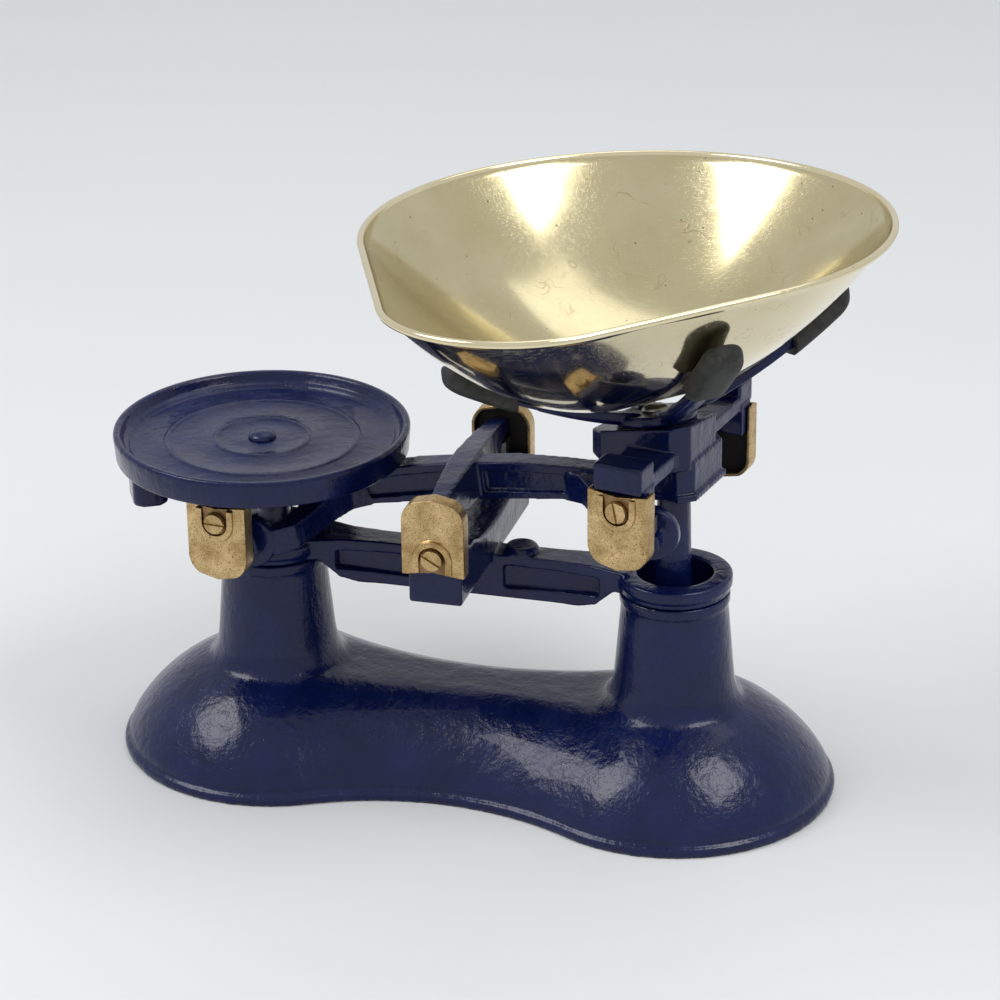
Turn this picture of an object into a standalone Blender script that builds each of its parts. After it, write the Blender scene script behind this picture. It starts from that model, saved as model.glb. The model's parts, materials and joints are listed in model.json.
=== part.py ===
"""Equal-arm counter scale: cast base and bridge, rocking beam, two pan carriers, check stay, brass pan.

Lengths below are millimetres; the meshes are made in metres.  X runs along the base (weight plate at -X,
pan at +X), Y runs front to back along the knife edges, Z is up.
"""
import math
import bmesh
import bpy
from mathutils import Matrix, Vector
from mathutils.bvhtree import BVHTree

# ------------------------------------------------------------------ driving sizes (mm, degrees)
GAP = 0.3                  # clearance left between pieces that touch
PILLAR_SPACING = 190.0     # distance between the two hollow pillars
LOBE_R = 71.5              # plan radius of each end of the base
WAIST_HALF = 48.0          # half width of the base at its waist
DOME_H = 44.0              # height of the base casting under the pillars
WALL = 5.0                 # wall of the base casting
RING_TOP = 106.3           # height of the top of the pillar rings
RING_R = 26.0              # outside radius of the pillar rings
BORE_R = 17.0              # bore of rings and pillars
PAN_PLACE = (PILLAR_SPACING / 2 - 23.0, 11.0)   # plan place of the middle of the pan's broad arc
PAN_TURN = -11.0           # swing of the pouring end from straight forward
PAN_LEAN = 3.0             # lean of the pan, front right side up
ARM = PILLAR_SPACING / 2   # beam arm, centre knife to end knife
KNIFE_Z = 137.0            # height of the centre knife edges
STAY_Z = 22.0              # height of the check stay's fixed pivot
REST_RISE = 12.4           # pan side's knives above the centre ones at rest
REST_TILT = math.degrees(math.asin(REST_RISE / ARM))
TWIST_LEFT = 6.0           # swivel of the left carrier about its stem
TWIST_RIGHT = 11.0         # swivel of the right carrier about its stem
CAP_W = 28.5               # width of a brass bearing cap
CAP_TIP = 18.0             # knife edge to the rounded tip of a cap
CAP_Y = 60.0               # outer face of each cap from the centre plane
CAP_DEPTH = 8.0            # depth of a cap, face to open back
STEM_R = 7.8               # stem of a carrier
PLATE_R = 67.5             # weight plate
PLATE_H = 12.5             # underside to rim of the weight plate
PLATE_PLACE = (-2.2, -5.6) # plan place of the weight plate's middle, from the left stem
POCKET_TURN = 209.0        # direction of the pocket under the weight plate
POCKET_OUT = 53.0          # plate's middle to the pocket's
PAN_R = 115.0              # broad end of the pan
PAN_NOSE_R = 57.5          # pouring end of the pan
PAN_REACH = 104.0          # distance between the centres of those two arcs
PAN_DEPTH = 74.0           # bottom of the pan to the middle of its rolled edge
PAN_T = 0.9                # sheet brass
PAN_BEAD = 1.6             # radius of the rolled edge
SPIDER_REACH = 94.0        # hub centre to the end of a rubber tip
SPIDER_TURN = 34.0         # direction of the pan rest's first arm, the back right one
SPIDER_RISES = (41.0, 41.5, 32.0, 38.2)   # hub top to the end of each arm, bent to meet the pan
SPIDER_CANT = 13.5         # lean of the pan rest, front right side up
SPIDER_PITCH = 1.5         # lean of the pan rest, back right side up
HUB_H = 4.6                # hub of the pan rest
ARM_DEEP = 4.4             # depth of its arms
TIP_LONG = 29.0            # rubber tip

MM = 0.001
COS, SIN = math.cos, math.sin
rad = math.radians
OBJ = {}

for old in list(bpy.data.objects):
    bpy.data.objects.remove(old, do_unlink=True)
for old in list(bpy.data.meshes):
    bpy.data.meshes.remove(old)


# ------------------------------------------------------------------ solid helpers
def solid(verts, faces, name="s"):
    bm = bmesh.new()
    vs = [bm.verts.new((v[0] * MM, v[1] * MM, v[2] * MM)) for v in verts]
    for f in faces:
        bm.faces.new([vs[i] for i in f])
    bmesh.ops.recalc_face_normals(bm, faces=bm.faces)
    me = bpy.data.meshes.new(name)
    bm.to_mesh(me)
    bm.free()
    ob = bpy.data.objects.new(name, me)
    bpy.context.scene.collection.objects.link(ob)
    return ob


def loft(rings, closed=False, spine=None):
    """Skin through rings of equal length; ends are capped unless the row of rings closes on itself.
    A last ring that isn't flat is capped by a strip between its mirrored halves, from index spine."""
    n = len(rings[0])
    verts = [p for r in rings for p in r]
    faces = []
    m = len(rings)
    for i in range(m if closed else m - 1):
        a, b = i * n, ((i + 1) % m) * n
        for k in range(n):
            k2 = (k + 1) % n
            faces.append((a + k, a + k2, b + k2, b + k))
    if not closed:
        faces.append(tuple(range(n))[::-1])
        top = (m - 1) * n
        if spine is None:
            faces.append(tuple(range(top, m * n)))
        else:
            for j in range(n // 2):
                strip = [(spine + j) % n, (spine + j + 1) % n, (spine - j - 1) % n, (spine - j) % n]
                faces.append(tuple(top + k for k in dict.fromkeys(strip)))
    return solid(verts, faces)


def lathe(profile, segs=48, centre=(0.0, 0.0)):
    """Turn an (r, z) outline about a vertical axis; it is open on the axis if it starts and ends at r = 0."""
    solid_core = profile[0][0] < 1e-6
    rings = [[(centre[0] + r * COS(2 * math.pi * k / segs), centre[1] + r * SIN(2 * math.pi * k / segs), z)
              for k in range(segs)] for r, z in profile if r > 1e-6]
    return loft(rings, closed=not solid_core)


def prism(outline, lo, hi, axis="Z"):
    """Extrude an outline along an axis: outline is (x, y) for Z, (x, z) for Y and (y, z) for X."""
    def at(p, t):
        return {"Z": (p[0], p[1], t), "Y": (p[0], t, p[1]), "X": (t, p[0], p[1])}[axis]
    return loft([[at(p, lo) for p in outline], [at(p, hi) for p in outline]])


def box(x0, x1, y0, y1, z0, z1, edge=0.0):
    ob = prism([(x0, y0), (x1, y0), (x1, y1), (x0, y1)], z0, z1)
    return soften(ob, edge) if edge else ob


def rod(centre, r, half, axis="Y", segs=16):
    ring = [(r * COS(2 * math.pi * k / segs), r * SIN(2 * math.pi * k / segs)) for k in range(segs)]
    c = {"X": (centre[1], centre[2], centre[0]), "Y": (centre[0], centre[2], centre[1]),
         "Z": (centre[0], centre[1], centre[2])}[axis]
    return prism([(c[0] + a, c[1] + b) for a, b in ring], c[2] - half, c[2] + half, axis)


def soften(ob, width, segs=2, angle=40.0):
    """Round the sharp edges of a simple solid."""
    bm = bmesh.new()
    bm.from_mesh(ob.data)
    sharp = [e for e in bm.edges if len(e.link_faces) == 2 and e.calc_face_angle(0.0) > rad(angle)]
    bmesh.ops.bevel(bm, geom=sharp, offset=width * MM, segments=segs, affect="EDGES", profile=0.5,
                    clamp_overlap=True)
    bm.to_mesh(ob.data)
    bm.free()
    return ob


def combine(a, b, operation):
    mod = a.modifiers.new("b", "BOOLEAN")
    mod.operation, mod.object, mod.solver = operation, b, "EXACT"
    bpy.context.view_layer.update()
    graph = bpy.context.evaluated_depsgraph_get()
    me = bpy.data.meshes.new_from_object(a.evaluated_get(graph))
    a.modifiers.clear()
    bm = bmesh.new()
    bm.from_mesh(me)
    bmesh.ops.remove_doubles(bm, verts=bm.verts, dist=0.002 * MM)
    bmesh.ops.dissolve_degenerate(bm, edges=bm.edges, dist=0.001 * MM)
    bm.to_mesh(me)
    bm.free()
    a.data = me
    bpy.data.objects.remove(b, do_unlink=True)
    return a


def join(a, *others):
    for b in others:
        combine(a, b, "UNION")
    return a


def cut(a, *others):
    for b in others:
        combine(a, b, "DIFFERENCE")
    return a


def move(ob, matrix):
    ob.data.transform(matrix)
    if matrix.determinant() < 0:
        ob.data.flip_normals()
    return ob


def shift(x=0.0, y=0.0, z=0.0):
    return Matrix.Translation((x * MM, y * MM, z * MM))


def turn(deg, axis, about=(0.0, 0.0, 0.0)):
    return shift(*about) @ Matrix.Rotation(rad(deg), 4, axis) @ shift(-about[0], -about[1], -about[2])


ENAMEL = (0.015, 0.024, 0.085)
CAST_BRASS = (0.62, 0.40, 0.13)
PAN_BRASS = (0.78, 0.67, 0.36)
STEEL = (0.42, 0.42, 0.43)
RUBBER = (0.02, 0.02, 0.02)


def keep(ob, name, colour, metal=0.0, rough=0.3):
    """Name a finished piece and give it its own material."""
    ob.name = ob.data.name = name
    mat = bpy.data.materials.new(name)
    mat.use_nodes = True
    bsdf = mat.node_tree.nodes["Principled BSDF"]
    bsdf.inputs["Base Color"].default_value = (*colour, 1.0)
    bsdf.inputs["Metallic"].default_value = metal
    bsdf.inputs["Roughness"].default_value = rough
    ob.data.materials.clear()
    ob.data.materials.append(mat)
    ob.data.shade_smooth()
    ob.data.set_sharp_from_angle(angle=rad(35.0))
    OBJ[name] = ob
    return ob


def enamel(ob, name):
    return keep(ob, name, ENAMEL, 0.0, 0.22)


def arc(cx, cy, r, a0, a1, n):
    return [(cx + r * COS(rad(a0 + (a1 - a0) * i / n)), cy + r * SIN(rad(a0 + (a1 - a0) * i / n)))
            for i in range(n + 1)]


HALF = PILLAR_SPACING / 2


# ------------------------------------------------------------------ base casting
ARC_POINTS = 16            # sides of each end arc; even, so that the outline mirrors about a point


def peanut(r, waist, n_end=ARC_POINTS, n_waist=6):
    """Two end arcs joined by a concave arc each side, as a closed outline of fixed point count."""
    # concave arc centre (0, c) of radius rw touching both end arcs: c = waist + rw
    rw = (HALF ** 2 + waist ** 2 - r ** 2) / (2 * (r - waist))
    c = waist + rw
    t = math.degrees(math.atan2(c, HALF))
    right = arc(HALF, 0, r, -(180 - t), 180 - t, n_end)
    top = arc(0, c, rw, -t, -(180 - t), n_waist)[1:-1]
    left = arc(-HALF, 0, r, t, 360 - t, n_end)
    bottom = arc(0, -c, rw, 180 - t, t, n_waist)[1:-1]
    return right + top + left + bottom


def dome(r, waist, h, z0, foot, grow=0.0, levels=7):
    """Skin of the base from the ground outline up to a low ridge between the pillars."""
    outer = peanut(r, waist)
    inner = peanut(r * 0.36, waist * 0.22)
    lip = peanut(r + 2.5, waist + 2.5)
    rings = []

    def level(points, z):
        rings.append([(x, y, z * (1.0 - 0.09 * max(0.0, 1.0 - (x / HALF) ** 2) * (z > foot)))
                      for x, y in points])
    if grow == 0.0:
        level(lip, z0)
        level(lip, 3.2)
        level(peanut(r + 1.2, waist + 1.2), 4.6)
        level(peanut(r - 0.4, waist - 0.4), 5.6)
    else:
        level(outer, z0)
    for i in range(levels + 1):
        s = (i / levels) ** 1.6
        u = 1.0 - s
        z = foot + (h - foot) * (1.0 - u ** 1.6) ** 0.8
        level([(a[0] * u + b[0] * s, a[1] * u + b[1] * s) for a, b in zip(outer, inner)], z)
    return loft(rings, spine=ARC_POINTS // 2)


base = dome(LOBE_R, WAIST_HALF, DOME_H, 0.0, 7.0)
collar = RING_TOP - 9.2
for side in (-1, 1):
    foot = [(0.0, 20.0), (34.0, 20.0), (34.0, DOME_H - 3), (31.5, DOME_H - 0.5), (29.0, DOME_H + 3.5),
            (27.6, DOME_H + 9.0), (27.0, DOME_H + 14), (24.2, collar - 7), (24.2, collar - 5.2),
            (25.0, collar - 4.4), (25.0, collar), (0.0, collar)]
    base = join(base, lathe(foot, 30, (side * HALF, 0)))
hollow = dome(LOBE_R - WALL, WAIST_HALF - WALL, DOME_H - WALL, -2.0, 5.0, grow=1.0)
for side in (-1, 1):
    bore = lathe([(0, -2), (BORE_R + 1.0, -2), (BORE_R + 1.0, collar - 8), (BORE_R + 3.6, collar - 8),
                  (BORE_R + 3.6, collar + 5), (0, collar + 5)], 28, (side * HALF, 0))
    base = cut(base, bore)
base = cut(base, hollow)
for side in (-1, 1):                       # two ears under the roof carry the stay's pivot pin
    ear = prism([(-7, STAY_Z), (-5, STAY_Z - 5), (5, STAY_Z - 5), (7, STAY_Z), (9, DOME_H - 5),
                 (-9, DOME_H - 5)], side * 4.0, side * 8.0, "Y")
    base = join(base, ear)
base = cut(base, rod((0, 0, STAY_Z), 2.8, 12))
enamel(base, "base_casting")
keep(rod((0, 0, STAY_Z), 2.5, 9.5), "stay_pivot_pin", STEEL, 1.0, 0.35)

# ------------------------------------------------------------------ bridge casting
seat = collar + GAP
ring_profile = [(BORE_R, collar - 7.4), (BORE_R + 3.3, collar - 7.4), (BORE_R + 3.3, seat),
                (RING_R - 1.2, seat), (RING_R - 0.9, seat + 3.0), (RING_R, seat + 3.6),
                (RING_R, RING_TOP - 1.0), (RING_R - 1.0, RING_TOP), (BORE_R + 0.8, RING_TOP),
                (BORE_R, RING_TOP - 0.8)]
BAR_LO, BAR_HI = RING_TOP - 19.8, RING_TOP + 1.3
ROOT, FLARE = HALF - 19, HALF - 37         # ends of the bar, and where it starts to widen
bar_plan = [(-ROOT, -14), (-FLARE, -8.5), (-40, -7), (40, -7), (FLARE, -8.5), (ROOT, -14),
            (ROOT, 14), (FLARE, 8.5), (40, 7), (-40, 7), (-FLARE, 8.5), (-ROOT, 14)]
bridge = prism(bar_plan, BAR_LO, BAR_HI)
SEAT_IN = HALF - 25.5                      # inner edge of the flat that sits on the pillar
trim = prism([(-HALF, BAR_LO - 5), (-HALF, seat), (-SEAT_IN, seat), (-HALF + 35, BAR_LO + 2),
              (-HALF + 43, BAR_LO), (HALF - 43, BAR_LO), (HALF - 35, BAR_LO + 2), (SEAT_IN, seat),
              (HALF, seat), (HALF, BAR_LO - 5)], -30, 30, "Y")
bridge = cut(bridge, trim)
for side in (-1, 1):
    for face in (-1, 1):                   # sunk panels in both faces of the bridge bar
        out = side * (HALF - 33)
        panel = prism([(side * 17, BAR_LO + 5), (out, BAR_LO + 6.5), (out, BAR_HI - 5.5),
                       (side * 17, BAR_HI - 5)], face * 4.2, face * 20, "Y")
        bridge = cut(bridge, panel)
bridge = join(bridge, lathe([(0, BAR_HI - 4), (8, BAR_HI - 4), (8, BAR_HI + 1.5), (6.5, BAR_HI + 3.6),
                             (0, BAR_HI + 4.4)], 24, (24, 0)))
YOKE_LO = RING_TOP - 1.9
upright = KNIFE_Z - 5.3
yoke_in = [(47.0, upright + 5), (46.0, upright), (43.0, upright - 3.5), (36.0, KNIFE_Z - 9.0),
           (27.0, KNIFE_Z - 12.4), (16.0, KNIFE_Z - 14.4), (6.0, KNIFE_Z - 15.2)]
yoke = prism([(-57.4, YOKE_LO), (57.4, YOKE_LO), (57.4, upright)] + yoke_in[1:]
             + [(-y, z) for y, z in yoke_in[:0:-1]] + [(-57.4, upright)], -12.2, 12.2, "X")
bridge = join(bridge, soften(yoke, 1.0))
for side in (-1, 1):
    ring = lathe(ring_profile, 34, (side * HALF, 0))
    bridge = cut(bridge, rod((side * HALF, 0, RING_TOP), BORE_R + 2.0, 30, "Z", 40))
    bridge = join(bridge, ring)


# ------------------------------------------------------------------ parts shared by all six bearings
def cap_solid(tip=1):
    """Brass cap with its knife line at the origin, face at -Y, rounded tip towards tip * Z."""
    w, t = CAP_W / 2, 1.6
    ra = 10.5                              # corner radius of the rounded end

    def shape(inset, tail):
        e, r = w - inset, ra - inset
        top = CAP_TIP - inset
        pts = [(-e, tail), (-e * 0.55, tail + 0.8), (0, tail + 1.8), (e * 0.55, tail + 0.8), (e, tail)]
        if tail < -CAP_TIP:
            pts = [(-e, tail), (e, tail)]
        corner = arc(e - r, top - r, r, 0, 60, 4)
        pts += corner + [(0, top + 0.6)] + [(-x, z) for x, z in corner[::-1]]
        return [(x, z * tip) for x, z in pts]
    body = prism(shape(0, -CAP_TIP), -CAP_Y, -CAP_Y + CAP_DEPTH, "Y")
    body = soften(body, 0.5, 1, 75)
    body = cut(body, prism(shape(t, -CAP_TIP - 3), -CAP_Y + 2.0, -CAP_Y + CAP_DEPTH + 2, "Y"))
    # raised horseshoe round the screw
    z0 = -9.5
    outer = [(-8.6, -16.2)] + [(x, z + z0) for x, z in arc(0, 0, 8.6, 180, 0, 8)] + [(8.6, -16.2)]
    inner = [(6.2, -16.2)] + [(x, z + z0) for x, z in arc(0, 0, 6.2, 0, 180, 8)] + [(-6.2, -16.2)]
    shoe = prism([(x, z * tip) for x, z in outer + inner], -CAP_Y - 0.8, -CAP_Y + 0.6, "Y")
    body = join(body, shoe)
    return cut(body, rod((0, -CAP_Y, z0 * tip), 2.2, 6))


def screw_solid(tip=1, lean=25.0):
    """Slotted cheese-head screw for a cap."""
    z0 = -9.5 * tip
    head_y = -CAP_Y - GAP
    head = soften(rod((0, head_y - 1.2, z0), 4.8, 1.2), 0.5, 1, 60)
    head = join(head, rod((0, head_y + 3.4, z0), 1.8, 3.6))
    slot = box(-6, 6, head_y - 3.4, head_y - 1.3, z0 - 0.55, z0 + 0.55)
    move(slot, turn(lean, "Y", (0, 0, z0)))
    return cut(head, slot)


def knife_solid(y0, y1, up=1, half=2.2, h=4.3):
    """Hardened prism whose edge lies on the knife line; its back is h away from the edge."""
    return prism([(0, 0), (half, -up * 2.6), (half, -up * h), (-half, -up * h), (-half, -up * 2.6)],
                 y0, y1, "Y")


def bearing_solid(y0, y1, up=1):
    """Block with a vee whose bottom is one clearance from the knife edge."""
    return prism([(0, up * GAP), (3.2, -up * 2.2), (3.6, -up * 2.2), (3.6, up * 5.0), (-3.6, up * 5.0),
                  (-3.6, -up * 2.2), (-3.2, -up * 2.2)], y0, y1, "Y")


HALF_TURN = Matrix.Rotation(math.pi, 4, "Z")


def cap_set(prefix, tip, place, leans, thread_into):
    """Cap and screw at the front and at the back; drill the piece they screw into."""
    for label, spin, lean in (("front", Matrix.Identity(4), leans[0]), ("back", HALF_TURN, leans[1])):
        keep(move(cap_solid(tip), place @ spin), prefix + "_cap_" + label, CAST_BRASS, 1.0, 0.35)
        keep(move(screw_solid(tip, lean), place @ spin), prefix + "_cap_screw_" + label, CAST_BRASS, 1.0, 0.4)
        hole = move(rod((0, -CAP_Y + 5, -9.5 * tip), 2.1, 4.6), place @ spin)
        thread_into = cut(thread_into, hole)
    return thread_into


centre = shift(0, 0, KNIFE_Z)
bridge = cap_set("centre", 1, centre, (30.0, 75.0), bridge)
enamel(bridge, "bridge_frame")
for label, s in (("front", -1), ("back", 1)):
    block = move(bearing_solid(min(s * 47.5, s * 56.5), max(s * 47.5, s * 56.5), -1), centre)
    keep(block, "centre_bearing_" + label, STEEL, 1.0, 0.3)

# ------------------------------------------------------------------ beam, made level then tilted to rest
tilt = shift(0, 0, KNIFE_Z) @ Matrix.Rotation(rad(-REST_TILT), 4, "Y")
BAR_END = ARM - 33         # the straight bar ends inside the fork limbs
top_curve = [(-BAR_END, 8.5), (-45, 11.0), (-25, 13.2), (0, 14.0), (25, 13.2), (45, 11.0), (BAR_END, 8.5)]
low_curve = [(BAR_END, -6.5), (40, -5.0), (0, -4.0), (-40, -5.0), (-BAR_END, -6.5)]
beam = prism(top_curve + low_curve, -6.0, 6.0, "Y")
for side in (-1, 1):
    for face in (-1, 1):
        out = side * (BAR_END - 6)
        panel = prism([(side * 9, 0.0), (out, -2.6), (out, 5.4), (side * 30, 8.4), (side * 9, 9.6)],
                      face * 3.4, face * 12, "Y")
        beam = cut(beam, panel)
cross = [(-56.6, 4.6), (-56.6, 10.6), (-46, 12.6), (-30, 14.6), (-8, 15.6), (8, 15.6), (30, 14.6), (46, 12.6),
         (56.6, 10.6), (56.6, 4.6), (43, 4.6), (36, 0.5), (20, -2.6), (-20, -2.6), (-36, 0.5), (-43, 4.6)]
ridge = prism(cross, -6.2, 6.2, "X")
taper = prism([(-9, -60), (-4.4, -60), (-4.4, -44), (-6.2, -8), (-6.2, 8), (-4.4, 44), (-4.4, 60), (-9, 60)],
              -20, 30)
taper_r = prism([(9, -60), (9, 60), (4.4, 60), (4.4, 44), (6.2, 8), (6.2, -8), (4.4, -44), (4.4, -60)],
                -20, 30)
ridge = cut(ridge, taper, taper_r)
beam = join(beam, ridge)
PADDLE_Y = (37.5, 43.5)
PADDLE_R = 12.5
PADDLE_X = ARM - 1.5       # middle of a paddle
# stations of a fork limb: x, y and z of its middle, half width, half height
LIMB = ((ARM - 43, 2.0, 1.0, 6.0, 7.0), (ARM - 35, 6.0, 0.6, 6.0, 7.2), (ARM - 29, 14.0, -2.0, 5.4, 6.6),
        (ARM - 23, 25.0, -5.5, 5.0, 6.0), (ARM - 18, 34.0, -7.5, 4.6, 6.0), (ARM - 11, 40.5, -8.0, 3.0, 6.4))
for side in (-1, 1):
    for face in (-1, 1):
        rings = []
        # fork limb: bar end, sweeping out and down round the stem, to the round paddle
        for x, y, z, w, h in LIMB:
            px, py = side * x, face * y
            dx, dy = side * w, face * w * 0.55
            rings.append([(px - dx, py + dy, z - h), (px + dx, py - dy, z - h),
                          (px + dx, py - dy, z + h), (px - dx, py + dy, z + h)])
        limb = loft(rings)
        beam = join(beam, limb)
        lo, hi = sorted((face * PADDLE_Y[0], face * PADDLE_Y[1]))
        disc = [(side * PADDLE_X + x, z - 7.0) for x, z in arc(0, 0, PADDLE_R, 0, 346.15, 25)]
        paddle = prism(disc, lo, hi, "Y")
        beam = join(beam, soften(paddle, 1.2, 1, 60))
        lo, hi = sorted((face * (PADDLE_Y[1] - 1), face * 52.0))
        shelf = box(side * ARM - 4, side * ARM + 4, lo, hi, -11.0, -4.6, 0.6)
        beam = join(beam, shelf)
enamel(move(beam, tilt), "beam")
for side, word in ((-1, "left"), (1, "right")):
    for face, label in ((-1, "front"), (1, "back")):
        lo, hi = sorted((face * (PADDLE_Y[1] + GAP), face * 52.4))
        k = move(knife_solid(lo, hi, 1), tilt @ shift(side * ARM, 0, 0))
        keep(k, word + "_knife_" + label, STEEL, 1.0, 0.25)
for face, label in ((-1, "front"), (1, "back")):
    lo, hi = sorted((face * 44.0, face * 57.0))
    keep(move(knife_solid(lo, hi, -1), tilt), "centre_knife_" + label, STEEL, 1.0, 0.25)

KNIFE = {s: (s * ARM * COS(rad(REST_TILT)), KNIFE_Z + s * ARM * SIN(rad(REST_TILT))) for s in (-1, 1)}
DROP = KNIFE_Z - STAY_Z

# ------------------------------------------------------------------ check stay, level then tilted
stay = prism([(-ARM + 3, -4), (-20, -4.5), (-8, -5.6), (8, -5.6), (20, -4.5), (ARM - 3, -4), (ARM - 3, 4),
              (20, 4.5), (8, 5.6), (-8, 5.6), (-20, 4.5), (-ARM + 3, 4)], -2.5, 2.5, "Y")
for x in (-ARM, ARM):
    stay = join(stay, rod((x, 0, 0), 5.2, 2.5))
stay = join(stay, rod((0, 0, 0), 6.6, 3.4))
for x in (-ARM, 0, ARM):
    stay = cut(stay, rod((x, 0, 0), 2.8 if x == 0 else 2.6, 12))
keep(move(stay, shift(0, 0, STAY_Z) @ Matrix.Rotation(rad(-REST_TILT), 4, "Y")), "check_stay", STEEL, 1.0, 0.5)


# ------------------------------------------------------------------ pan carriers
def octagon(cx, cy, a, b, c):
    return [(cx - a + c, cy - b), (cx + a - c, cy - b), (cx + a, cy - b + c), (cx + a, cy + b - c),
            (cx + a - c, cy + b), (cx - a + c, cy + b), (cx - a, cy + b - c), (cx - a, cy - b + c)]


def carrier(arm_lo, arm_hi, end_hi, seat_hi, seat_x, seat_y, box_lo):
    """Cross arm with a lug at each end, centre box and round stem; knife line at the origin."""
    c = box(-11.5, 11.5, -48, 48, arm_lo, arm_hi, 1.2)
    for face in (-1, 1):
        lo, hi = sorted((face * 46.5, face * 61.0))
        c = join(c, box(-11.5, 11.5, lo, hi, CAP_TIP + GAP, end_hi, 1.2))
        lo, hi = sorted((face * 47.5, face * 57.4))
        c = join(c, box(-12.2, 12.2, lo, hi, 5.3, CAP_TIP + 2.0))
    c = join(c, prism(octagon(seat_x, seat_y, 23.5, 21.0, 7.0), arm_lo - 2, seat_hi))
    c = join(c, prism(octagon(0, 0, 16.5, 21.0, 6.0), box_lo + 2.6, arm_lo + 1),
             prism(octagon(0, 0, 18.0, 22.5, 6.5), box_lo, box_lo + 3.0))
    return c


def stem_solid(top):
    """Round stem, thickening downwards, with a forked foot for the stay."""
    s = lathe([(0, -DROP - 5.8), (4.6, -DROP - 5.8), (STEM_R - 1.0, -DROP - 4.0), (STEM_R - 0.4, -DROP + 8),
               (STEM_R + 0.5, -DROP + 30), (STEM_R + 0.5, -50), (STEM_R - 0.4, 0), (STEM_R - 0.4, top),
               (0, top)], 26)
    s = cut(s, box(-12, 12, -2.9, 2.9, -DROP - 9, -DROP + 11.5))
    return cut(s, rod((0, 0, -DROP), 2.5, 12))


def finish_carrier(word, c, twist, leans):
    side = -1 if word == "left" else 1
    x, z = KNIFE[side]
    place = shift(x, 0, z)
    swivel = place @ Matrix.Rotation(rad(-twist), 4, "Z")
    move(c, swivel)
    c = join(c, move(stem_solid(8.0), place))
    c = cap_set(word, -1, swivel, leans, c)
    for face, label in ((-1, "front"), (1, "back")):
        lo, hi = sorted((face * 48.0, face * 52.2))
        keep(move(bearing_solid(lo, hi, 1), place), word + "_bearing_" + label, STEEL, 1.0, 0.3)
    keep(move(rod((0, 0, -DROP), 2.2, 6.6), place), word + "_stay_pin", STEEL, 1.0, 0.35)
    enamel(c, word + "_carrier")
    return place


# left carrier and weight plate
left = carrier(15.0, 21.0, 22.3, 22.3, *PLATE_PLACE, 4.0)
place_l = finish_carrier("left", left, TWIST_LEFT, (0.0, 60.0))
plate_z = 22.3 + GAP
rim = [(PLATE_R - 9.2, 0.6), (PLATE_R - 8.2, 0.0), (PLATE_R - 1.8, 0.0), (PLATE_R - 0.8, 1.0),
       (PLATE_R, PLATE_H - 0.7), (PLATE_R - 0.8, PLATE_H), (PLATE_R - 2.6, PLATE_H), (PLATE_R - 3.4, PLATE_H - 0.7),
       (PLATE_R - 4.4, 8.4), (PLATE_R - 6.6, 7.6), (PLATE_R - 7.4, 6.4)]
beads = [(45.0, 6.0), (44.2, 6.8), (42.8, 6.8), (42.0, 6.0), (23.0, 6.0), (22.2, 6.7), (20.6, 6.7), (19.8, 6.2)]
plate = lathe([(0, 0.6)] + rim + beads + [(0, 6.2)], 40)
plate = cut(plate, rod((0, 0, 4), 2.4, 8, "Z"))
# pocket under the rim for trimming the balance
pocket = soften(prism([(-8, -9), (8, -9), (8, 6), (4, 9), (-4, 9), (-8, 6)], -19.0, 3.4), 2.0)
move(pocket, Matrix.Rotation(rad(POCKET_TURN), 4, "Z"))
move(pocket, shift(POCKET_OUT * COS(rad(POCKET_TURN)), POCKET_OUT * SIN(rad(POCKET_TURN)), 0))
plate = join(plate, pocket)
on_seat = place_l @ shift(*PLATE_PLACE, plate_z)
enamel(move(plate, on_seat), "weight_plate")
rivet = lathe([(0, 6.5), (6.4, 6.5), (6.0, 7.8), (4.4, 8.9), (2.2, 9.4), (0, 9.5)], 24)
rivet = join(rivet, rod((0, 0, 2.2), 2.1, 4.6, "Z"))
enamel(move(rivet, on_seat), "plate_rivet")
OBJ["left_carrier"] = cut(OBJ["left_carrier"], move(rod((0, 0, -1.0), 2.4, 4.0, "Z"), on_seat))

# right carrier and pan rest
HUB = (-7.0, -4.0, 30.0)
right = carrier(17.0, 24.5, 30.5, 37.0, HUB[0] - 1.0, HUB[1], 0.0)
spin = Matrix.Rotation(rad(SPIDER_TURN), 4, "Z")
first_arm = Vector((COS(rad(SPIDER_TURN)), SIN(rad(SPIDER_TURN)), 0))
cant = (shift(*HUB) @ Matrix.Rotation(rad(-SPIDER_CANT), 4, first_arm)
        @ Matrix.Rotation(rad(-SPIDER_PITCH), 4, Vector((-first_arm.y, first_arm.x, 0))))
wedge = move(box(-60, 60, -60, 60, -GAP, 60), Matrix.Rotation(rad(TWIST_RIGHT), 4, "Z") @ cant)
ends_kept = box(-70, 70, -45.5, 45.5, -10, 90)
wedge = combine(wedge, ends_kept, "INTERSECT")
right = cut(right, wedge)
place_r = finish_carrier("right", right, TWIST_RIGHT, (78.0, 10.0))
rest = place_r @ cant


def arm_path(r, rise):
    """Height of an arm's top face above the hub's foot, rising to the tip."""
    return HUB_H + rise * (r / SPIDER_REACH) ** 1.6


def arm_rings(r1, steps, half_w, deep, rise, grow=0.0):
    rings = []
    for i in range(steps + 1):
        r = 9.0 + (r1 - 9.0) * i / steps
        z = arm_path(r, rise)
        w, low, high = half_w + grow, z - deep - grow, z + grow
        rings.append([(r, -w, low), (r, w, low), (r, w, high), (r, -w, high)])
    return rings


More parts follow.
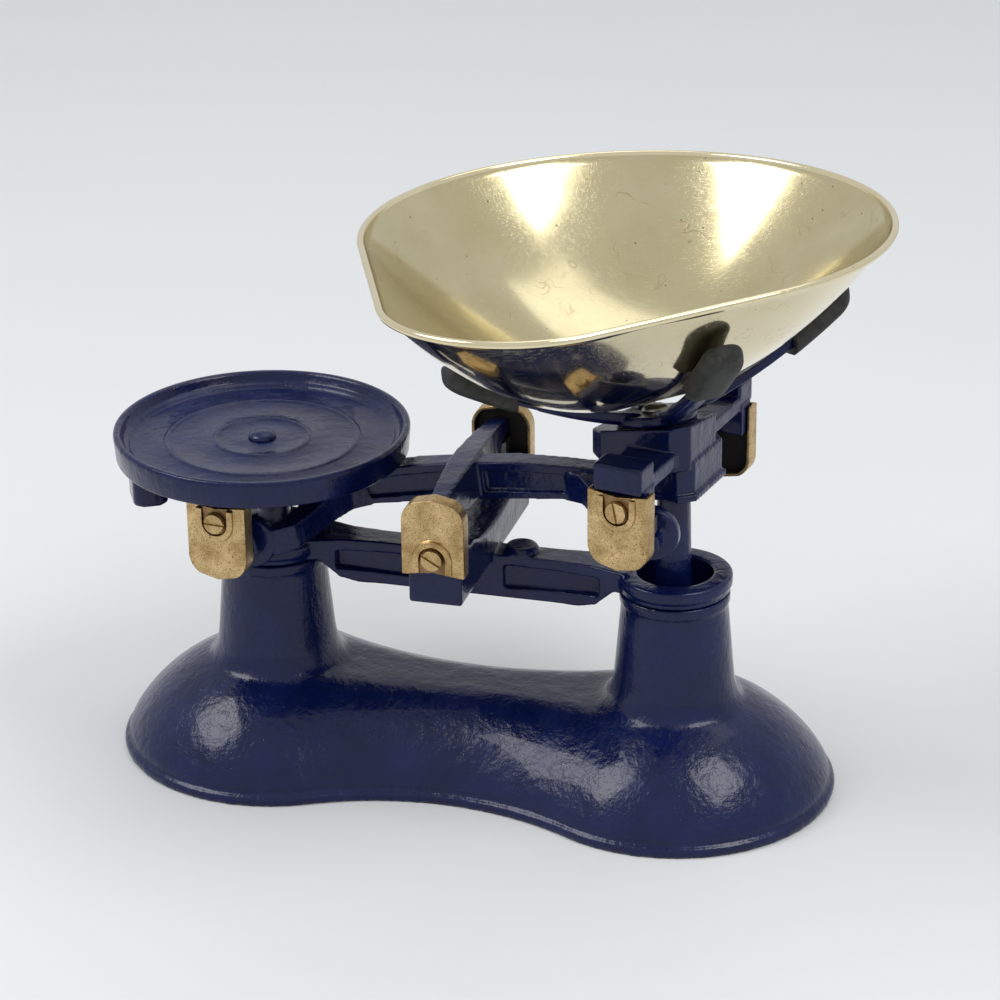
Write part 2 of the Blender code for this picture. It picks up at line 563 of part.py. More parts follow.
hub = lathe([(0, 0), (17.5, 0), (18.2, 0.8), (18.2, HUB_H - 1.2), (17.2, HUB_H), (0, HUB_H)], 28)
spider = hub
for q, rise in enumerate(SPIDER_RISES):
    around = Matrix.Rotation(rad(90 * q), 4, "Z")
    strap = move(loft(arm_rings(SPIDER_REACH - 4.0, 10, 4.6, ARM_DEEP, rise)), around)
    rib = []
    for ring in arm_rings(SPIDER_REACH - 40.0, 7, 1.8, ARM_DEEP - 0.4, rise):
        r, z = ring[0][0], ring[0][2]
        low = z - 2.2 * (1 - 0.6 * (r - 9) / 45)
        rib.append([(r, -1.8, low), (r, 1.8, low), (r, 1.8, z + 2), (r, -1.8, z + 2)])
    rib = cut(loft(rib), box(-40, 40, -40, 40, -20, 0.0))
    spider = join(spider, strap, move(rib, around))
spider = cut(spider, rod((0, 0, 4), 2.9, 12, "Z"))
move(spider, rest @ spin)
enamel(spider, "bowl_spider")
head = HUB_H + GAP
screw = lathe([(0, head), (6.2, head), (6.2, head + 0.7), (5.2, head + 1.9), (3.0, head + 2.7), (0, head + 2.9)], 24)
screw = join(screw, rod((0, 0, 0.4), 2.5, 6.2, "Z"))
screw = cut(screw, box(-8, 8, -0.7, 0.7, head + 1.6, head + 5))
keep(move(screw, rest @ spin), "spider_screw", STEEL, 1.0, 0.45)
OBJ["right_carrier"] = cut(OBJ["right_carrier"], move(rod((0, 0, -3.0), 2.9, 4.5, "Z"), rest @ spin))
tips = []
for q, label in enumerate(("back_right", "back_left", "front_left", "front_right")):
    around = Matrix.Rotation(rad(90 * q), 4, "Z")
    rings = []
    for f in (0, 0.35, 0.65, 0.78, 0.85, 0.9, 0.945, 0.98, 1.0):
        r = SPIDER_REACH - TIP_LONG * (1 - f)
        z = arm_path(r, SPIDER_RISES[q]) - ARM_DEEP / 2
        k = 1.0 if f < 0.78 else math.sqrt(max(0.0, 1.0 - ((f - 0.78) / 0.228) ** 2))
        hw, hh = 9.4 * (0.3 + 0.7 * k), 6.0 * (0.5 + 0.5 * k)
        ring = []
        for j in range(16):
            a = 2 * math.pi * j / 16
            ca, sa = COS(a), SIN(a)
            across, up = math.copysign(abs(ca) ** 0.65, ca), math.copysign(abs(sa) ** 0.65, sa)
            ring.append((r, hw * across, z + hh * up))
        rings.append(ring)
    tip = loft(rings)
    pocket_rings = arm_rings(SPIDER_REACH - 4.0, 10, 4.6, ARM_DEEP, SPIDER_RISES[q], GAP)
    pocket_rings[-1] = [(x + GAP, y, z) for x, y, z in pocket_rings[-1]]
    tip = cut(tip, loft(pocket_rings))
    tip = move(tip, rest @ spin @ around)
    tips.append(keep(tip, "rubber_tip_" + label, RUBBER, 0.0, 0.85))


# ------------------------------------------------------------------ pan
def pan_outline():
    """Hull of a broad arc at the origin and a nose arc at -Y, the sides straight between them."""
    lean = math.degrees(math.acos((PAN_R - PAN_NOSE_R) / PAN_REACH))
    pts = arc(0, 0, PAN_R, -90 + lean, 270 - lean, 32)
    nose = arc(0, -PAN_REACH, PAN_NOSE_R, 270 - lean, 270 + lean, 11)

    def between(a, b, n=3):
        return [(a[0] + (b[0] - a[0]) * i / n, a[1] + (b[1] - a[1]) * i / n) for i in range(1, n)]
    return pts + between(pts[-1], nose[0]) + nose + between(nose[-1], pts[0])


def pan_solid():
    rim = pan_outline()
    n = len(rim)
    shares = (0.2, 0.38, 0.54, 0.68, 0.8, 0.91, 1.0)
    outer = [[(x * g, y * g, PAN_DEPTH * g ** 2) for x, y in rim] for g in shares]
    outer_v = [[Vector(p) for p in ring] for ring in outer]
    inner = []
    for i, ring in enumerate(outer_v):
        lower = outer_v[i - 1] if i else [Vector((0, 0, 0))] * n
        upper = outer_v[min(i + 1, len(outer_v) - 1)]
        row = []
        for k in range(n):
            along = ring[(k + 1) % n] - ring[k - 1]
            rise = upper[k] - lower[k]
            nrm = rise.cross(along).normalized()
            if nrm.z < 0:
                nrm = -nrm
            row.append(tuple(ring[k] + nrm * PAN_T))
        inner.append(row)
    bead = []
    last = outer_v[-1]
    for j in range(7):
        a = rad(-70 + 230 * j / 6)
        row = []
        for k in range(n):
            along = last[(k + 1) % n] - last[k - 1]
            out = Vector((along.y, -along.x, 0)).normalized()
            mid = last[k] + out * (PAN_BEAD * 0.55) + Vector((0, 0, PAN_BEAD * 0.5))
            row.append(tuple(mid + out * PAN_BEAD * COS(a) + Vector((0, 0, PAN_BEAD * SIN(a)))))
        bead.append(row)
    rings = outer + bead + inner[::-1]
    verts = [(0, 0, 0)] + [p for r in rings for p in r] + [(0, 0, PAN_T)]
    faces = []
    for k in range(n):
        k2 = (k + 1) % n
        faces.append((0, 1 + k, 1 + k2))
        for i in range(len(rings) - 1):
            a, b = 1 + i * n, 1 + (i + 1) * n
            faces.append((a + k, a + k2, b + k2, b + k))
        a = 1 + (len(rings) - 1) * n
        faces.append((a + k, a + k2, len(verts) - 1))
    return solid(verts, faces, "pan")


pan = pan_solid()
move(pan, Matrix.Rotation(rad(PAN_TURN), 4, "Z"))
lean_axis = Vector((COS(rad(50.0)), SIN(rad(50.0)), 0))
move(pan, Matrix.Rotation(rad(-PAN_LEAN), 4, lean_axis))
move(pan, shift(*PAN_PLACE, 300.0))
tree = BVHTree.FromPolygons([v.co[:] for v in pan.data.vertices],
                            [tuple(p.vertices) for p in pan.data.polygons])
drops = []
for t in tips + [OBJ["bowl_spider"], OBJ["spider_screw"]]:
    for v in t.data.vertices:
        hit = tree.ray_cast(v.co, Vector((0, 0, 1)))
        if hit[0] is not None:
            drops.append(hit[3])
move(pan, Matrix.Translation((0, 0, GAP * MM * 1.2 - min(drops))))
keep(pan, "bowl", PAN_BRASS, 1.0, 0.12)

# ------------------------------------------------------------------ place the origin and the joint axes
lo = Vector((1e9, 1e9, 1e9))
hi = -lo
for ob in OBJ.values():
    for v in ob.data.vertices:
        lo = Vector(map(min, lo, v.co))
        hi = Vector(map(max, hi, v.co))
frame = Matrix.Translation((-(lo.x + hi.x) / 2, -(lo.y + hi.y) / 2, -lo.z))
axes = {"beam": (0, 0, KNIFE_Z), "left": (KNIFE[-1][0], 0, KNIFE[-1][1]),
        "right": (KNIFE[1][0], 0, KNIFE[1][1]), "stay": (0, 0, STAY_Z), "base": (0, 0, 0)}


def body_of(name):
    if name in ("beam",) or "_knife_" in name:
        return "beam"
    if name == "check_stay":
        return "stay"
    if name.startswith("left") or name in ("weight_plate", "plate_rivet"):
        return "left"
    if name.startswith("right") or name.startswith("rubber") or "spider" in name or name == "bowl":
        return "right"
    return "base"


for name, ob in OBJ.items():
    ob.data.transform(frame)
    pivot = frame @ (Vector(axes[body_of(name)]) * MM)
    ob.data.transform(Matrix.Translation(-pivot))
    ob.location = pivot
bpy.context.view_layer.update()
for child, lead in (("beam", "base_casting"), ("check_stay", "base_casting"), ("left_carrier", "beam"),
                    ("right_carrier", "beam"), ("bowl", "right_carrier")):
    OBJ[child].parent = OBJ[lead]
    OBJ[child].matrix_parent_inverse = OBJ[lead].matrix_world.inverted()
    bpy.context.view_layer.update()
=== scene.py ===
"""Looks of the equal-arm counter scale: finely rounded castings, brass, rubber and steel on a pale sweep.

Lengths are millimetres until a piece is placed; X runs along the base, Y front to back, Z up, and the
working origin lies on the ground under the beam's centre knife.
"""
import json
import math

import bmesh
import bpy
import numpy as np
from mathutils import Matrix, Vector


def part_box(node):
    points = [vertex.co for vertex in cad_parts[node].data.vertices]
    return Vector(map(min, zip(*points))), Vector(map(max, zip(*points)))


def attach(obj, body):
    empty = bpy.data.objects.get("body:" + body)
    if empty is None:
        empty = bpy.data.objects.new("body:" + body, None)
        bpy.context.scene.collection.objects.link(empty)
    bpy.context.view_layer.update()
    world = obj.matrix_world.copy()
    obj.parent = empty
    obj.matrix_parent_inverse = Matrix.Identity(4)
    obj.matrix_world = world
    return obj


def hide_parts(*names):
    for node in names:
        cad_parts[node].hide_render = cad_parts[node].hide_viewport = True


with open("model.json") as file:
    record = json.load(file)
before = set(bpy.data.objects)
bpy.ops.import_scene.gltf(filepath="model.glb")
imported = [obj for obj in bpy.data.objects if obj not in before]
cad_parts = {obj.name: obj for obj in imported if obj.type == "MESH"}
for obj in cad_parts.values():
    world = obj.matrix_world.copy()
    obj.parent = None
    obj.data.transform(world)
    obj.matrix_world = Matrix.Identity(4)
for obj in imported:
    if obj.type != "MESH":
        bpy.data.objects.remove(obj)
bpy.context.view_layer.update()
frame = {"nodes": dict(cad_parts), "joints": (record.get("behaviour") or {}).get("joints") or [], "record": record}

# ------------------------------------------------------------------ sizes (mm, degrees)
MM = 0.001
JOINT = {j["name"]: Vector(j["pos_m"]) for j in frame["joints"] if j.get("pos_m")}
BODY = {n: b for b, members in frame["record"]["behaviour"]["bodies"].items() for n in members}
PIVOT = JOINT["beam_rock"] / MM
KNIFE_Z = PIVOT.z
STAY_Z = JOINT["stay_rock"].z / MM
LEFT_KNIFE = JOINT["weight_carrier_hinge"] / MM - Vector((PIVOT.x, PIVOT.y, 0))
RIGHT_KNIFE = JOINT["pan_carrier_hinge"] / MM - Vector((PIVOT.x, PIVOT.y, 0))
PLACE = Matrix.Translation((PIVOT.x * MM, PIVOT.y * MM, 0))
DROP = KNIFE_Z - STAY_Z
ARM = math.hypot(RIGHT_KNIFE.x, RIGHT_KNIFE.z - KNIFE_Z)
REST_TILT = math.degrees(math.atan2(RIGHT_KNIFE.z - KNIFE_Z, RIGHT_KNIFE.x))
GAP = 0.3
HALF = 95.0                # beam centre to each pillar
LOBE_R, WAIST_HALF, DOME_H, WALL = 71.5, 48.0, 44.0, 5.0
LIP = 2.5                  # the ground lip stands this far proud of the base
RING_TOP, RING_R, BORE_R = 106.3, 26.0, 17.0
COLLAR = RING_TOP - 9.2    # top of the pillars, under the rings
TWIST_LEFT, TWIST_RIGHT = 6.0, 11.0
CAP_W, CAP_TIP, CAP_Y, CAP_DEPTH = 28.5, 18.0, 60.0, 8.0
STEM_R = 7.8
SCREW_Z = -9.5             # cap screw, from the knife line towards the cap's square end
BAR_LO, BAR_HI, YOKE_LO = 86.5, 107.6, 104.4
PADDLE_IN, PADDLE_R = 1.5, 12.5   # beam's end paddles: inboard of the knives, and radius
PLATE_SEAT = 22.3          # left knife line to the weight plate's seat
POCKET_OUT, POCKET_TURN = 53.0, 209.0
PLATE_R, PLATE_H, PLATE_PLACE = 67.5, 12.5, (-2.2, -5.6)
PAN_R, PAN_NOSE_R, PAN_REACH, PAN_DEPTH = 115.0, 57.5, 104.0, 74.0
PAN_T, PAN_BEAD = 0.9, 1.6
PAN_PLACE, PAN_TURN, PAN_LEAN = (72.0, 11.0), -11.0, 3.0
SPIDER_REACH, SPIDER_TURN, SPIDER_CANT, SPIDER_PITCH = 94.0, 34.0, 13.5, 1.5
SPIDER_RISES = (41.0, 41.5, 32.0, 38.2)
HUB_H, ARM_DEEP, TIP_LONG = 4.6, 4.4, 29.0
COS, SIN = math.cos, math.sin
rad = math.radians


# ------------------------------------------------------------------ solid helpers
def solid(verts, faces):
    bm = bmesh.new()
    vs = [bm.verts.new((v[0] * MM, v[1] * MM, v[2] * MM)) for v in verts]
    for f in faces:
        bm.faces.new([vs[i] for i in f])
    bmesh.ops.recalc_face_normals(bm, faces=bm.faces)
    me = bpy.data.meshes.new("piece")
    bm.to_mesh(me)
    bm.free()
    ob = bpy.data.objects.new("piece", me)
    bpy.context.scene.collection.objects.link(ob)
    return ob


def loft(rings, closed=False, spine=None):
    """Skin through rings of equal length; ends are capped unless the row of rings closes on itself.
    A last ring that isn't flat is capped by a strip between its mirrored halves, from index spine."""
    n, m = len(rings[0]), len(rings)
    faces = []
    for i in range(m if closed else m - 1):
        a, b = i * n, ((i + 1) % m) * n
        for k in range(n):
            k2 = (k + 1) % n
            faces.append((a + k, a + k2, b + k2, b + k))
    if not closed:
        faces.append(tuple(range(n))[::-1])
        top = (m - 1) * n
        if spine is None:
            faces.append(tuple(range(top, m * n)))
        else:
            for j in range(n // 2):
                strip = [(spine + j) % n, (spine + j + 1) % n, (spine - j - 1) % n, (spine - j) % n]
                faces.append(tuple(top + k for k in dict.fromkeys(strip)))
    return solid([p for r in rings for p in r], faces)


def lathe(profile, segs=96, centre=(0.0, 0.0)):
    """Turn an (r, z) outline about a vertical axis; it is a full solid if it starts and ends at r = 0."""
    core = profile[0][0] < 1e-6
    rings = [[(centre[0] + r * COS(2 * math.pi * k / segs), centre[1] + r * SIN(2 * math.pi * k / segs), z)
              for k in range(segs)] for r, z in profile if r > 1e-6]
    return loft(rings, closed=not core)


def prism(outline, lo, hi, axis="Z"):
    """Extrude an outline along an axis: outline is (x, y) for Z, (x, z) for Y and (y, z) for X."""
    def at(p, t):
        return {"Z": (p[0], p[1], t), "Y": (p[0], t, p[1]), "X": (t, p[0], p[1])}[axis]
    return loft([[at(p, lo) for p in outline], [at(p, hi) for p in outline]])


def box(x0, x1, y0, y1, z0, z1, edge=0.0):
    ob = prism([(x0, y0), (x1, y0), (x1, y1), (x0, y1)], z0, z1)
    return soften(ob, edge) if edge else ob


def rod(centre, r, half, axis="Y", segs=48):
    ring = [(r * COS(2 * math.pi * k / segs), r * SIN(2 * math.pi * k / segs)) for k in range(segs)]
    c = {"X": (centre[1], centre[2], centre[0]), "Y": (centre[0], centre[2], centre[1]),
         "Z": (centre[0], centre[1], centre[2])}[axis]
    return prism([(c[0] + a, c[1] + b) for a, b in ring], c[2] - half, c[2] + half, axis)


def soften(ob, width, segs=3, angle=40.0):
    """Round the sharp edges of a simple solid."""
    bm = bmesh.new()
    bm.from_mesh(ob.data)
    sharp = [e for e in bm.edges if len(e.link_faces) == 2 and e.calc_face_angle(0.0) > rad(angle)]
    bmesh.ops.bevel(bm, geom=sharp, offset=width * MM, segments=segs, affect="EDGES", profile=0.5,
                    clamp_overlap=True)
    bm.to_mesh(ob.data)
    bm.free()
    return ob


def bake(ob):
    """Apply the modifiers that a piece carries."""
    bpy.context.view_layer.update()
    graph = bpy.context.evaluated_depsgraph_get()
    me = bpy.data.meshes.new_from_object(ob.evaluated_get(graph))
    ob.modifiers.clear()
    ob.data = me
    return ob


def combine(a, b, operation):
    mod = a.modifiers.new("b", "BOOLEAN")
    mod.operation, mod.object, mod.solver = operation, b, "EXACT"
    bake(a)
    bm = bmesh.new()
    bm.from_mesh(a.data)
    bmesh.ops.remove_doubles(bm, verts=bm.verts, dist=0.002 * MM)
    bmesh.ops.dissolve_degenerate(bm, edges=bm.edges, dist=0.001 * MM)
    bm.to_mesh(a.data)
    bm.free()
    bpy.data.objects.remove(b, do_unlink=True)
    return a


def join(a, *others):
    for b in others:
        combine(a, b, "UNION")
    return a


def cut(a, *others):
    for b in others:
        combine(a, b, "DIFFERENCE")
    return a


def cast(ob, voxel, rounds):
    """Give a solid the soft edges and fillets of a casting: a fine even mesh, smoothed."""
    mesh = ob.modifiers.new("grid", "REMESH")
    mesh.mode, mesh.voxel_size = "VOXEL", voxel * MM
    ease = ob.modifiers.new("ease", "SMOOTH")
    ease.factor, ease.iterations = 0.5, rounds
    return bake(ob)


def ease_where(ob, weight, rounds):
    """Smooth a piece further where weight(x, y, z) in mm is above zero."""
    group = ob.vertex_groups.new(name="ease")
    for v in ob.data.vertices:
        w = weight(v.co.x / MM, v.co.y / MM, v.co.z / MM)
        if w > 0:
            group.add([v.index], w, "REPLACE")
    mod = ob.modifiers.new("ease", "SMOOTH")
    mod.factor, mod.iterations, mod.vertex_group = 0.5, rounds, "ease"
    bake(ob)
    ob.vertex_groups.clear()
    return ob


def move(ob, matrix):
    ob.data.transform(matrix)
    return ob


def shift(x=0.0, y=0.0, z=0.0):
    return Matrix.Translation((x * MM, y * MM, z * MM))


def spun(deg, axis="Z"):
    return Matrix.Rotation(rad(deg), 4, axis)


def arc(cx, cy, r, a0, a1, n):
    return [(cx + r * COS(rad(a0 + (a1 - a0) * i / n)), cy + r * SIN(rad(a0 + (a1 - a0) * i / n)))
            for i in range(n + 1)]


# ------------------------------------------------------------------ materials
class Finish:
    """A Principled material whose nodes are built from object coordinates in metres."""

    def __init__(self, name, **plain):
        self.mat = bpy.data.materials.new(name)
        self.mat.use_nodes = True
        self.tree = self.mat.node_tree
        self.bsdf = self.tree.nodes["Principled BSDF"]
        for socket, value in plain.items():
            self.bsdf.inputs[socket.replace("_", " ")].default_value = value
        self.where = self.tree.nodes.new("ShaderNodeTexCoord").outputs["Object"]

    def link(self, a, b):
        self.tree.links.new(a, b)

    def stretched(self, scale, turn=(0.0, 0.0, 0.0)):
        n = self.tree.nodes.new("ShaderNodeMapping")
        n.inputs["Scale"].default_value = scale
        n.inputs["Rotation"].default_value = turn
        self.link(self.where, n.inputs["Vector"])
        return n.outputs["Vector"]

    def noise(self, scale, detail=3.0, rough=0.5, vector=None):
        n = self.tree.nodes.new("ShaderNodeTexNoise")
        n.inputs["Scale"].default_value = scale
        n.inputs["Detail"].default_value = detail
        n.inputs["Roughness"].default_value = rough
        self.link(vector or self.where, n.inputs["Vector"])
        return n.outputs["Fac"]

    def cells(self, scale, feature="F1", vector=None):
        n = self.tree.nodes.new("ShaderNodeTexVoronoi")
        n.feature = feature
        n.inputs["Scale"].default_value = scale
        self.link(vector or self.where, n.inputs["Vector"])
        return n.outputs["Distance"]

    def ramp(self, fac, lo, hi, out_lo=0.0, out_hi=1.0):
        n = self.tree.nodes.new("ShaderNodeMapRange")
        for name, value in (("From Min", lo), ("From Max", hi), ("To Min", out_lo), ("To Max", out_hi)):
            n.inputs[name].default_value = value
        self.link(fac, n.inputs["Value"])
        return n.outputs["Result"]

    def math(self, op, a, b):
        n = self.tree.nodes.new("ShaderNodeMath")
        n.operation = op
        for socket, value in zip(n.inputs, (a, b)):
            if isinstance(value, float):
                socket.default_value = value
            else:
                self.link(value, socket)
        return n.outputs["Value"]

    def mix(self, fac, a, b):
        """Colour a where fac is 0 and b where it is 1; either may be a tuple or an output."""
        n = self.tree.nodes.new("ShaderNodeMix")
        n.data_type = "RGBA"
        self.link(fac, n.inputs["Factor"])
        for index, value in ((6, a), (7, b)):
            if isinstance(value, tuple):
                n.inputs[index].default_value = (*value, 1.0)
            else:
                self.link(value, n.inputs[index])
        return n.outputs[2]

    def bumps(self, *layers):
        """Each layer is (height output, depth in mm)."""
        normal = None
        for height, depth in layers:
            n = self.tree.nodes.new("ShaderNodeBump")
            n.inputs["Distance"].default_value = depth * MM
            n.inputs["Strength"].default_value = 1.0
            self.link(height, n.inputs["Height"])
            if normal is not None:
                self.link(normal, n.inputs["Normal"])
            normal = n.outputs["Normal"]
        self.link(normal, self.bsdf.inputs["Normal"])

    def set(self, socket, output):
        self.link(output, self.bsdf.inputs[socket])


def enamel_finish():
    """Thick glossy navy enamel over rough cast iron: lumpy, with pits and dull dusty patches."""
    f = Finish("navy_enamel", Coat_Weight=0.22, Coat_Roughness=0.04, Specular_IOR_Level=0.24)
    patch = f.noise(48.0, 5.0, 0.6)
    lumps = f.noise(120.0, 3.0, 0.55)
    grain = f.noise(560.0, 3.0, 0.6)
    pits = f.ramp(f.cells(230.0), 0.05, 0.17)
    drips = f.noise(150.0, 4.0, 0.6, f.stretched((1.0, 1.0, 0.35)))
    body = f.mix(f.ramp(patch, 0.35, 0.7), (0.0014, 0.0052, 0.040), (0.0034, 0.0090, 0.066))
    dusty = f.mix(f.ramp(f.noise(900.0, 2.0), 0.68, 0.82), body, (0.016, 0.026, 0.085))
    f.set("Base Color", f.mix(f.ramp(pits, 0.0, 1.0, 0.6, 0.0), dusty, (0.002, 0.003, 0.010)))
    f.set("Roughness", f.ramp(patch, 0.3, 0.75, 0.15, 0.32))
    f.bumps((lumps, 0.75), (f.ramp(drips, 0.45, 0.7), 0.14), (grain, 0.12), (pits, 0.09))
    return f.mat


def cap_finish(name, dull, bright):
    """Dull golden cast brass, speckled and pitted."""
    f = Finish(name, Metallic=1.0)
    patch = f.noise(120.0, 4.0, 0.6)
    speck = f.noise(1500.0, 3.0, 0.65)
    tone = f.mix(f.ramp(patch, 0.3, 0.7), dull, bright)
    stained = f.mix(f.ramp(speck, 0.52, 0.70), tone, (0.17, 0.090, 0.032))
    f.set("Base Color", f.mix(f.ramp(f.cells(620.0), 0.05, 0.18, 0.85, 0.0), stained, (0.10, 0.05, 0.02)))
    f.set("Roughness", f.ramp(speck, 0.3, 0.75, 0.26, 0.50))
    f.bumps((f.noise(400.0, 4.0), 0.16), (speck, 0.05))
    return f.mat


def pan_finish(name, tone, dull, rough):
    """Polished sheet brass with hair scratches, dark specks and a few wandering lines."""
    f = Finish(name, Metallic=1.0)
    patch = f.noise(28.0, 5.0, 0.6)
    hair_a = f.noise(160.0, 2.0, 0.5, f.stretched((1.0, 30.0, 6.0), (0.0, 0.0, 0.5)))
    hair_b = f.noise(150.0, 2.0, 0.5, f.stretched((28.0, 1.0, 5.0), (0.0, 0.0, 0.2)))
    specks = f.ramp(f.cells(130.0), 0.03, 0.075, 1.0, 0.0)
    few = f.math("MULTIPLY", specks, f.ramp(f.noise(60.0, 2.0), 0.44, 0.54))
    contour = f.math("ABSOLUTE", f.math("SUBTRACT", f.noise(15.0, 4.0, 0.55), 0.5), 0.0)
    thin = f.ramp(contour, 0.0008, 0.0035, 1.0, 0.0)
    craze = f.math("MULTIPLY", thin, f.ramp(f.noise(40.0, 2.0), 0.46, 0.6))
    base = f.mix(f.ramp(patch, 0.3, 0.7), tone, dull)
    darkened = f.mix(f.math("MULTIPLY", craze, 0.45), base, (0.36, 0.23, 0.09))
    f.set("Base Color", f.mix(few, darkened, (0.10, 0.05, 0.02)))
    hairs = f.math("MAXIMUM", f.ramp(hair_a, 0.60, 0.72), f.ramp(hair_b, 0.62, 0.74))
    f.set("Roughness", f.math("ADD", f.ramp(hairs, 0.0, 1.0, rough, rough + 0.12),
                              f.ramp(patch, 0.4, 0.8, 0.0, 0.05)))
    f.bumps((f.noise(16.0, 2.0), 0.8), (hairs, 0.006))
    return f.mat


def rubber_finish():
    f = Finish("black_rubber", Specular_IOR_Level=0.35)
    worn = f.noise(240.0, 4.0, 0.6)
    f.set("Base Color", f.mix(f.ramp(worn, 0.4, 0.72), (0.017, 0.017, 0.016), (0.045, 0.044, 0.041)))
    f.set("Roughness", f.ramp(worn, 0.3, 0.7, 0.48, 0.68))
    f.bumps((f.noise(1400.0, 3.0), 0.05), (worn, 0.12))
    return f.mat


def steel_finish():
    f = Finish("ground_steel", Metallic=1.0)
    brushed = f.noise(900.0, 2.0, 0.5, f.stretched((6.0, 1.0, 6.0)))
    f.set("Base Color", f.mix(f.ramp(f.noise(200.0, 3.0), 0.4, 0.7), (0.42, 0.41, 0.40), (0.22, 0.19, 0.16)))
    f.set("Roughness", f.ramp(brushed, 0.3, 0.7, 0.25, 0.5))
    f.bumps((brushed, 0.02))
    return f.mat


def cap_inside_shade_finish():
    """Near-black inside of the caps: painted shade in their hollow."""
    f = Finish("painted_shade_cap_inside")
    shade_mottle = f.noise(500.0, 3.0)
    f.set("Base Color", f.mix(f.ramp(shade_mottle, 0.4, 0.7), (0.010, 0.009, 0.008), (0.030, 0.024, 0.018)))
    f.set("Roughness", f.ramp(shade_mottle, 0.3, 0.7, 0.5, 0.8))
    return f.mat


ENAMEL = enamel_finish()
CAP_BRASS = cap_finish("cast_brass", (0.38, 0.25, 0.105), (0.72, 0.53, 0.27))
# a darker copy of the cast brass: painted shade in the recess round each cap screw
CAP_RECESS_SHADE = cap_finish("recess_shaded_brass", (0.16, 0.095, 0.045), (0.36, 0.24, 0.115))
PAN_IN = pan_finish("pan_brass_inside", (0.66, 0.590, 0.370), (0.57, 0.495, 0.290), 0.14)
PAN_OUT = pan_finish("pan_brass_outside", (0.84, 0.76, 0.53), (0.78, 0.67, 0.42), 0.05)
RUBBER = rubber_finish()
STEEL = steel_finish()
# near-black painted shade for the hollow inside of the caps
CAP_INSIDE_SHADE = cap_inside_shade_finish()


def show(ob, node, *mats, sharp=None):
    """Put a finished piece in the row frame, in place of its CAD node."""
    move(ob, PLACE)
    ob.name = ob.data.name = node + "_look"
    for m in mats:
        ob.data.materials.append(m)
    ob.data.shade_smooth()
    if sharp:
        ob.data.set_sharp_from_angle(angle=rad(sharp))
    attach(ob, BODY[node])
    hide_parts(node)
    return ob


# ------------------------------------------------------------------ base casting
ARC_POINTS = 72


def peanut(r, waist, n_end=ARC_POINTS, n_waist=28):
    """Two end arcs joined by a concave arc each side."""
    rw = (HALF ** 2 + waist ** 2 - r ** 2) / (2 * (r - waist))
    c = waist + rw
    t = math.degrees(math.atan2(c, HALF))
    right = arc(HALF, 0, r, -(180 - t), 180 - t, n_end)
    top = arc(0, c, rw, -t, -(180 - t), n_waist)[1:-1]
    left = arc(-HALF, 0, r, t, 360 - t, n_end)
    bottom = arc(0, -c, rw, 180 - t, t, n_waist)[1:-1]
    return right + top + left + bottom


def dome(r, waist, h, z0, foot, lipped, levels=30):
    """Skin of the base from the ground outline up to a low ridge between the pillars."""
    outer, inner = peanut(r, waist), peanut(r * 0.36, waist * 0.22)
    rings = []

    def level(points, z):
        rings.append([(x, y, z * (1.0 - 0.09 * max(0.0, 1.0 - (x / HALF) ** 2) * (z > foot)))
                      for x, y in points])
    if lipped:
        for grow, z in ((LIP, z0), (LIP, 3.0), (LIP - 0.5, 3.9), (0.6, 4.4), (-0.6, 5.4)):
            level(peanut(r + grow, waist + grow), z)
    else:
        level(outer, z0)
    for i in range(levels + 1):
        s = (i / levels) ** 1.6
        u = 1.0 - s
        z = foot + (h - foot) * (1.0 - u ** 1.6) ** 0.8
        level([(a[0] * u + b[0] * s, a[1] * u + b[1] * s) for a, b in zip(outer, inner)], z)
    return loft(rings, spine=ARC_POINTS // 2)


def base_piece():
    base = dome(LOBE_R, WAIST_HALF, DOME_H, 0.0, 7.0, True)
    for side in (-1, 1):
        foot = [(0.0, 20.0), (34.0, 20.0), (34.0, DOME_H - 3), (31.5, DOME_H - 0.5), (29.0, DOME_H + 3.5),
                (27.6, DOME_H + 9.0), (27.0, DOME_H + 14), (24.2, COLLAR - 7), (24.2, COLLAR - 5.2),
                (25.0, COLLAR - 4.4), (25.0, COLLAR), (0.0, COLLAR)]
        join(base, lathe(foot, 96, (side * HALF, 0)))
    for side in (-1, 1):
        bore = [(0, -2), (BORE_R + 1.0, -2), (BORE_R + 1.0, COLLAR - 8), (BORE_R + 3.6, COLLAR - 8),
                (BORE_R + 3.6, COLLAR + 5), (0, COLLAR + 5)]
        cut(base, lathe(bore, 96, (side * HALF, 0)))
    cut(base, dome(LOBE_R - WALL, WAIST_HALF - WALL, DOME_H - WALL, -2.0, 5.0, False, 16))
    for side in (-1, 1):
        ear = [(-7, STAY_Z), (-5, STAY_Z - 5), (5, STAY_Z - 5), (7, STAY_Z), (9, DOME_H - 5), (-9, DOME_H - 5)]
        join(base, prism(ear, side * 4.0, side * 8.0, "Y"))
    cast(base, 0.85, 5)

    def near_foot(x, y, z):
        r = math.hypot(abs(x) - HALF, y)
        if r < 22.5 or z < DOME_H - 14:
            return 0.0
        band = 1.0 - abs(z - DOME_H - 1.0) / 15.0
        return max(0.0, min(1.0, 1.8 * band)) * (1.0 if r < 46 else max(0.0, 1.0 - (r - 46) / 14))
    ease_where(base, near_foot, 60)

    def on_ridge(x, y, z):
        return max(0.0, min(1.0, (z - 22.0) / 8.0, (80.0 - abs(x)) / 20.0)) * (abs(y) < 40 and z < DOME_H + 1)
    ease_where(base, on_ridge, 80)
    for v in base.data.vertices:
        v.co.z = max(v.co.z, 0.0)
    show(base, "base_casting", ENAMEL)


